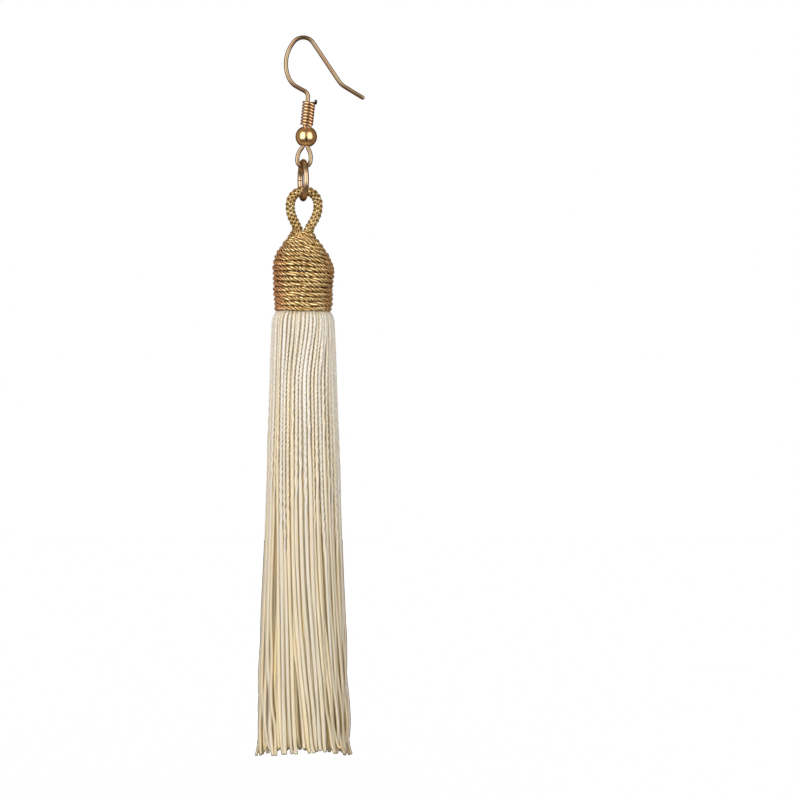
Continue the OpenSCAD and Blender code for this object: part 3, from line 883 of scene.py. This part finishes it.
def add_cap(profile, shader):
    """One long gold yarn wound down the cap in rows, and its crossed ties at the neck."""
    turns = np.arange(CAP_ROWS * CAP_TURN_POINTS + 1) / CAP_TURN_POINTS
    down = np.clip((turns - 0.5 + waves(turns, ROW_WAVES)) / (CAP_ROWS - 1), 0, 1)
    spots = resampled(profile, down * lengths_along(profile)[-1])
    # The winding starts and ends tucked in at the back, and runs to the right in front
    tuck = np.clip((turns - CAP_ROWS + TUCK_END) / TUCK_END, 0, 1)
    tuck += np.clip((TUCK_START - turns) / TUCK_START, 0, 1)
    radius = spots[:, 0] - TUCK_DEPTH * tuck - WINDING_SINK + waves(turns, DEPTH_WAVES)
    line = ring_line(radius, 2 * np.pi * (turns + 0.25), spots[:, 1])
    # The upper rows sag on the right, and rise a little on the left
    sag = ROW_TILT * line[:, 0] + ROW_BOW * np.abs(line[:, 0])
    line[:, 2] -= up_cap(line[:, 2])**0.7 * sag
    winding = wound_yarn(line, YARN_R * WINDING_SWELL, tone=0.0)
    # Yarn that faces into the cap, between the rows, takes the painted groove shade
    winding["crest"] = winding["crest"] * facing_out(winding["points"])
    # A flat spiral closes the top round the loop's roots
    spiral = ring_line(np.linspace(*SPIRAL_R, SPIRAL_POINTS),
                       2 * np.pi * np.linspace(0, SPIRAL_TURNS, SPIRAL_POINTS),
                       ROW_FIRST[1] + np.linspace(*SPIRAL_RISE, SPIRAL_POINTS))
    parts = [winding, wound_yarn(spiral, YARN_R * SPIRAL_THIN, tone=0.3)]
    angle = np.radians(np.linspace(-180, 180, 145))
    for places, heights, lifts in TIES:
        knots = np.stack([heights, lifts], axis=1)
        height, lift = smooth_through(knots, np.radians(places), angle).T
        parts.append(wound_yarn(tie_line(profile, angle, height, lift), YARN_R, tone=0.0))
    add_piece("cap_winding", parts, shader, "tassel", ["wound_cap"])


def add_head(profile, shader):
    """The bound head of the threads, which fills the cap behind its yarn."""
    core = resampled(profile, np.linspace(HEAD_TOP, lengths_along(profile)[-1], 12))
    core = core - [2 * YARN_R * HEAD_INSET, 0]
    bottom = core[-1:] - [0, HEAD_FOOT]
    top = [[HEAD_BORE_R, core[0, 1]]]
    loop = np.concatenate([top, core, bottom, [[HEAD_BORE_R, bottom[0, 1]]]])
    part = lathe(loop[::-1], lambda points: points, sides=48)
    # The head, seen only between the cap's rows, is painted golden brown as shade
    part["tone"] = np.full(part["tone"].shape, HEAD_PAINTED_SHADE_TONE)
    part["crest"] = np.zeros(part["crest"].shape)
    add_piece("thread_head", [part], shader, "tassel", ["thread_skirt"])


# Thread skirt


def skirt_outline(levels, count=180):
    """Outer radius of the CAD skirt at each height, in equal steps round it."""
    mesh = frame["nodes"]["thread_skirt"].data
    tree = BVHTree.FromPolygons([v.co for v in mesh.vertices], [p.vertices for p in mesh.polygons])
    table = np.zeros((len(levels), count))
    far = 20 * MM
    for i, level in enumerate(levels):
        for k in range(count):
            seat = 2 * math.pi * k / count
            way = Vector((-math.cos(seat), -math.sin(seat), 0))
            hit = tree.ray_cast(Vector((-way.x * far, -way.y * far, level * MM)), way)[0]
            table[i, k] = hit.xy.length / MM
    return table


def outline_at(table_row, angle):
    """The outline's radius at angles, between its steps."""
    place = np.mod(angle / (2 * np.pi), 1) * len(table_row)
    i = place.astype(int) % len(table_row)
    share = place - np.floor(place)
    return table_row[i] * (1 - share) + table_row[(i + 1) % len(table_row)] * share


def packed_threads(radius):
    """Threads side by side in rings: the ring, radius and angle of each."""
    rings = []
    for ring in range(THREAD_RINGS):
        reach = radius - ring * THREAD_RING_STEP
        # The second ring fills the gaps of the first
        width = reach if ring != 1 else radius
        count = max(1, int(2 * math.pi * width / THREAD_PITCH))
        place = np.arange(count) + 0.5 * (ring == 1)
        place = place + RANDOM.uniform(-THREAD_JITTER, THREAD_JITTER, count)
        angle = 2 * np.pi * place / count
        rings.append(np.stack([np.full(count, ring), np.full(count, reach), angle - np.pi], axis=1))
    return np.concatenate(rings)


def locks_of(angle, ring):
    """Middle angle of the lock of neighbouring threads that each thread lies in."""
    middle = np.zeros(len(angle))
    for layer, wanted in LOCK_LAYERS:
        chosen = np.isin(ring, layer)
        count = int(np.count_nonzero(ring == layer[0]) / wanted)
        widths = RANDOM.uniform(*LOCK_WIDTHS, count)
        edges = np.concatenate([[0], np.cumsum(widths) / widths.sum() * 2 * np.pi]) - np.pi
        i = np.clip(np.searchsorted(edges, angle[chosen]) - 1, 0, count - 1)
        middle[chosen] = (edges[i] + edges[i + 1]) / 2
    return middle


def apart(spots, weights, outline, room, rounds):
    """Pushes threads apart until each has its room, and keeps them inside an outline."""
    for _ in range(rounds):
        gaps = spots[:, None] - spots[None]
        # A thread is kept far from itself
        far = np.sqrt((gaps**2).sum(2)) + 1e3 * np.eye(len(spots))
        push = np.clip(room - far, 0, None) / far
        spots = spots + weights[:, None] * (gaps * push[..., None]).sum(1)
        reach = np.linalg.norm(spots, axis=1)
        limit = outline_at(outline, np.arctan2(spots[:, 1], spots[:, 0])) - THREAD_R
        spots = spots * np.minimum(1, limit / np.maximum(reach, 1e-6))[:, None]
    return spots


def thread_lines():
    """The middle line of each thread, from inside the rim down, and the ring it is in."""
    rim = CAP_LOW.z
    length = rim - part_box("thread_skirt")[0].z / MM
    outlines = skirt_outline(rim - SKIRT_LEVELS * length)
    full_r = outlines[FULL_LEVEL].mean() - THREAD_R
    ring, base_r, base_angle = packed_threads(full_r).T
    ring = ring.astype(int)
    lock = locks_of(base_angle, ring)
    phase = LOCK_PHASE * lock
    own = RANDOM.uniform(0, 2 * np.pi, len(ring))
    # Lower down the outer rings draw together, and the inner ones keep the middle filled
    crowd = CROWDING * np.clip((base_r / full_r - 0.3) / 0.4, 0, 1)
    # Inside the rim all the threads are drawn together
    ideal = np.stack([base_r * np.cos(base_angle), base_r * np.sin(base_angle)], axis=1)
    top = np.full((len(ring), 1), rim + HEAD_RISE)
    knots = [np.concatenate([ideal * HEAD_GATHER, top], axis=1)]
    spots = aim = None
    for share, outline in zip(SKIRT_LEVELS, outlines):
        # Threads of a lock stay together, and the locks wander and drift to the right
        gather = 1 - min(1, 1.6 * share) * LOCK_GATHER
        wander = share**1.1 * waves(share, [(0.4, 4, phase), (0.12, 9, 2.3 * phase)])
        loose = share * waves(share, [(0.1, 6, own)])
        angle = lock + gather * (base_angle - lock) + (wander + loose) / full_r
        lean = sum(degrees * np.exp(-((base_angle - middle) / width)**2)
                   for degrees, middle, width in RIM_LEANS)
        lean = lean * soft_step(share, RIM_LEAN_END, 0)
        angle = angle + np.radians(SKIRT_DRIFT * share**3 + lean)
        # The threads of the two outer rings sink in by different depths
        deep = SINK + waves(share, [(SINK, 3, 1.7 * phase)]) + 0.1 * np.sin(own)
        sink = share * deep * (ring < 2)
        limit = outline_at(outline, angle) - THREAD_R
        reach = (base_r / full_r)**(1 - crowd * share) * limit - sink
        before, aim = aim, np.stack([reach * np.cos(angle), reach * np.sin(angle)], axis=1)
        spots = aim if spots is None else aim + (spots - before) * PUSH_KEPT
        room = 2 * THREAD_R * min(1.0, RIM_ROOM + ROOM_GAIN * share)
        spots = apart(spots, GIVE[np.minimum(ring, 2)], outline, room, PUSH_ROUNDS)
        level = np.full((len(spots), 1), rim - share * length)
        knots.append(np.concatenate([spots, level], axis=1))
    # The ends are uneven, and those of the outermost ring hang lowest
    last = 2 * knots[-1] - knots[-2]
    uneven = RANDOM.uniform(*ENDS_UNEVEN, len(ring)) - ENDS_WAVE * np.cos(base_angle * 2)
    last[:, 2] = rim - length * ENDS_LEVEL + uneven + INNER_ENDS_RISE * (ring > 0)
    knots.append(last)
    return np.array(knots), ring


def add_threads(shader):
    """All the threads of the skirt, the outer ones with their two plies laid up."""
    knots, ring = thread_lines()
    at = np.arange(len(knots), dtype=float)
    # Name, threads, rings along each, section at the top and section lower down
    groups = [("outer", ring == 0, 340, plied(2, 0.8, 10), plied(2, 0.66, 10)),
              ("second", ring == 1, 240, plied(2, 0.84, 8), plied(2, 0.7, 8)),
              ("inner", ring > 1, 36, ROUND_THREAD, ROUND_THREAD)]
    for name, chosen, rings, laid, loose in groups:
        curves = smooth_through(knots[:, chosen], at, np.linspace(0, at[-1], 900))
        lines = np.array([resampled(line, np.linspace(0, lengths_along(line)[-1], rings))
                          for line in np.moveaxis(curves, 0, 1)])
        count = len(lines)
        tone = RING_TONES[np.minimum(ring[chosen], 2)] + TONE_CHANCE * RANDOM.random(count)**3
        tone = np.clip(tone, 0, TONE_LIMIT)
        # Lower down the plies lie untwisted side by side, and the threads end thin
        share = np.linspace(0, 1, rings)
        opens = RANDOM.uniform(*PLIES_OPEN, (count, 1))
        opened = soft_step(share, opens, opens + OPENING)
        turns = np.cumsum(1 - opened, axis=1) / rings * lengths_along(lines)[:, -1:] / THREAD_LAY
        settled = np.arctan2(-lines[:, -1, 0], -lines[:, -1, 1]) + RANDOM.uniform(-0.5, 0.5, count)
        twist = settled[:, None] + 2 * np.pi * (turns - turns[:, -1:])
        thin = 1 + 0.1 * opened - 0.25 * np.clip(1 + (share - 1) / THIN_END, 0, 1)
        radius = THREAD_R * RANDOM.uniform(*THREAD_SIZES, (count, 1)) * thin
        shares = laid + opened[..., None] * (loose - laid)
        # The two outer groups have the finest meshes, and each is split in two pieces
        halves = np.array_split(np.arange(count), 1 if name == "inner" else 2)
        for i, rows in enumerate(halves):
            part = sweep(lines[rows], X_AXIS, radius[rows], shares[rows], twist[rows], tone[rows])
            # The crest of a thread is its side that faces out of the skirt, and its other sides
            # take a painted shade
            reach = np.linalg.norm(part["points"][..., :2], axis=-1)
            rise = (reach - np.linalg.norm(lines[rows][..., None, :2], axis=-1)) / THREAD_R
            part["crest"] = np.clip(rise, 0, 1) * (0.7 + 0.3 * part["crest"])
            add_piece(f"threads_{name}_{i + 1}", [part], shader, "tassel",
                      ["thread_skirt"])


# Light, floor and camera


def add_world():
    """A dark room that the metal mirrors, with a lamp to each side in front, one behind and a
    warm wall at each side. Matt surfaces get an even fill, and the camera sees white."""
    world = bpy.data.worlds.new("studio")
    bpy.context.scene.world = world
    world.use_nodes = True
    tree = world.node_tree
    tree.nodes.clear()
    way = add_node(tree, "ShaderNodeTexCoord").outputs["Generated"]
    parts = add_node(tree, "ShaderNodeSeparateXYZ", {0: way})
    height = parts.outputs["Z"]
    front = maths(tree, "MULTIPLY", parts.outputs["Y"], -1.0)
    azimuth = maths(tree, "ARCTAN2", parts.outputs["X"], front)
    aside = maths(tree, "ABSOLUTE", azimuth)

    def times(first, second):
        return maths(tree, "MULTIPLY", first, second)

    def brighter(first, second):
        return maths(tree, "MAXIMUM", first, second)

    def near(value, middle, inner, outer):
        """One where a value is near the middle, falling off to zero."""
        off = maths(tree, "ABSOLUTE", maths(tree, "SUBTRACT", value, middle))
        return ranged(tree, off, inner, outer, 1.0, 0.0)

    def toward(middle, inner, outer):
        """One near an angle from the front to either side, in degrees, falling off to zero."""
        return near(aside, *[math.radians(angle) for angle in (middle, inner, outer)])

    def by_side(left, right):
        """A brightness for the left, which changes in front to the one for the right."""
        return ranged(tree, azimuth, -0.5, 0.5, left, right)

    def background(colour, strength):
        links = {"Color": colour, "Strength": strength}
        return add_node(tree, "ShaderNodeBackground", links).outputs[0]

    def chosen(share, first, second):
        links = {0: share, 1: first, 2: second}
        return add_node(tree, "ShaderNodeMixShader", links).outputs[0]

    lamps = times(toward(41, 11, 37), near(height, 0.17, 0.32, 0.68))
    lamps = times(lamps, by_side(LEFT_LAMP, RIGHT_LAMP))
    walls = times(toward(108, 16, 34), by_side(LEFT_WALL, RIGHT_WALL))
    room = brighter(ranged(tree, front, -0.2, 0.5, ROOM_BEHIND, ROOM_IN_FRONT), walls)
    behind = ranged(tree, aside, math.radians(154), math.radians(172), 0.0, BACK_LAMP)
    room = brighter(room, times(behind, near(height, 0.1, 0.3, 0.7)))
    room = brighter(room, ranged(tree, height, 0.6, 0.85, 0.0, CEILING))
    room = brighter(room, ranged(tree, height, -0.75, -0.9, 0.0, GROUND))
    # A dark gap in front, in the lower half of the room
    gap = times(toward(0, 7, 13), near(height, -0.45, 0.35, 0.5))
    light = times(maths(tree, "ADD", lamps, room), maths(tree, "SUBTRACT", 1.0, gap))
    away = brighter(ranged(tree, maths(tree, "ABSOLUTE", height), 0.4, 0.85), toward(115, 20, 45))
    mirrored = background(mixed(tree, away, LAMP_TINT, WALL_TINT), light)
    ray = add_node(tree, "ShaderNodeLightPath").outputs
    lit = chosen(ray["Is Diffuse Ray"], mirrored, background(FILL_TINT, FILL))
    seen = chosen(ray["Is Camera Ray"], lit, background((1, 1, 1, 1), 1.0))
    add_node(tree, "ShaderNodeOutputWorld", {"Surface": seen})


def add_soft_lamps():
    """Soft lamps round the earring, which light the threads and leave no glint on the metal."""
    middle = Vector((0, 0, PHOTO_MIDDLE_Z * MM))
    for azimuth, height, watts, colour in SOFT_LAMPS:
        data = bpy.data.lights.new("soft_lamp", "AREA")
        data.shape = "DISK"
        data.size = LAMP_SIZE * MM
        data.energy = watts
        data.color = colour
        lamp = bpy.data.objects.new("soft_lamp", data)
        level, rise = turned(height, LAMP_DISTANCE * MM)
        ahead, right = turned(azimuth, level)
        lamp.location = middle + Vector((right, -ahead, rise))
        lamp.rotation_euler = (middle - lamp.location).to_track_quat("-Z", "Y").to_euler()
        lamp.visible_glossy = False
        lamp.visible_camera = False
        bpy.context.scene.collection.objects.link(lamp)


def add_floor():
    """A plain white round floor below the hanging earring."""
    mesh = bpy.data.meshes.new("floor")
    seats = 2 * np.pi * np.arange(96) / 96
    height = cad_low.z - FLOOR_DROP * MM
    reach = FLOOR_R * MM
    corners = [(reach * math.cos(seat), reach * math.sin(seat), height) for seat in seats]
    mesh.from_pydata(corners, [], [list(range(len(corners)))])
    material, _ = new_shader("floor_white", Base_Color=FLOOR_WHITE, Roughness=0.9)
    mesh.materials.append(material)
    floor = bpy.data.objects.new("floor", mesh)
    bpy.context.scene.collection.objects.link(floor)
    floor.is_shadow_catcher = True
    floor.visible_diffuse = False
    floor.visible_glossy = False


def add_camera():
    """A long lens straight in front, framed as the photograph is."""
    data = bpy.data.cameras.new("camera")
    data.sensor_width = SENSOR_WIDTH
    data.lens = SENSOR_WIDTH * CAMERA_DISTANCE / PHOTO_WIDTH
    data.clip_end = CAMERA_REACH * MM
    camera = bpy.data.objects.new("camera", data)
    camera.location = Vector((PHOTO_MIDDLE_X, -CAMERA_DISTANCE, PHOTO_MIDDLE_Z)) * MM
    camera.rotation_euler = (math.radians(90), 0, 0)
    bpy.context.scene.collection.objects.link(camera)
    bpy.context.scene.camera = camera


add_camera()
add_world()
add_soft_lamps()
add_floor()
bpy.context.scene.view_settings.view_transform = "Standard"

add_ear_wire(metal_shader("gold_wire", *WIRE_GOLD))
add_coil(metal_shader("gold_coil", *COIL_GOLD))
add_ball(metal_shader("gold_ball", *BALL_GOLD, TURNED))
add_jump_ring(metal_shader("gold_ring", *RING_GOLD))

yarn = yarn_shader()
thread = thread_shader()
cap = cap_profile()
add_cord_loop(yarn)
add_cap(cap, yarn)
add_head(cap, thread)
add_threads(thread)
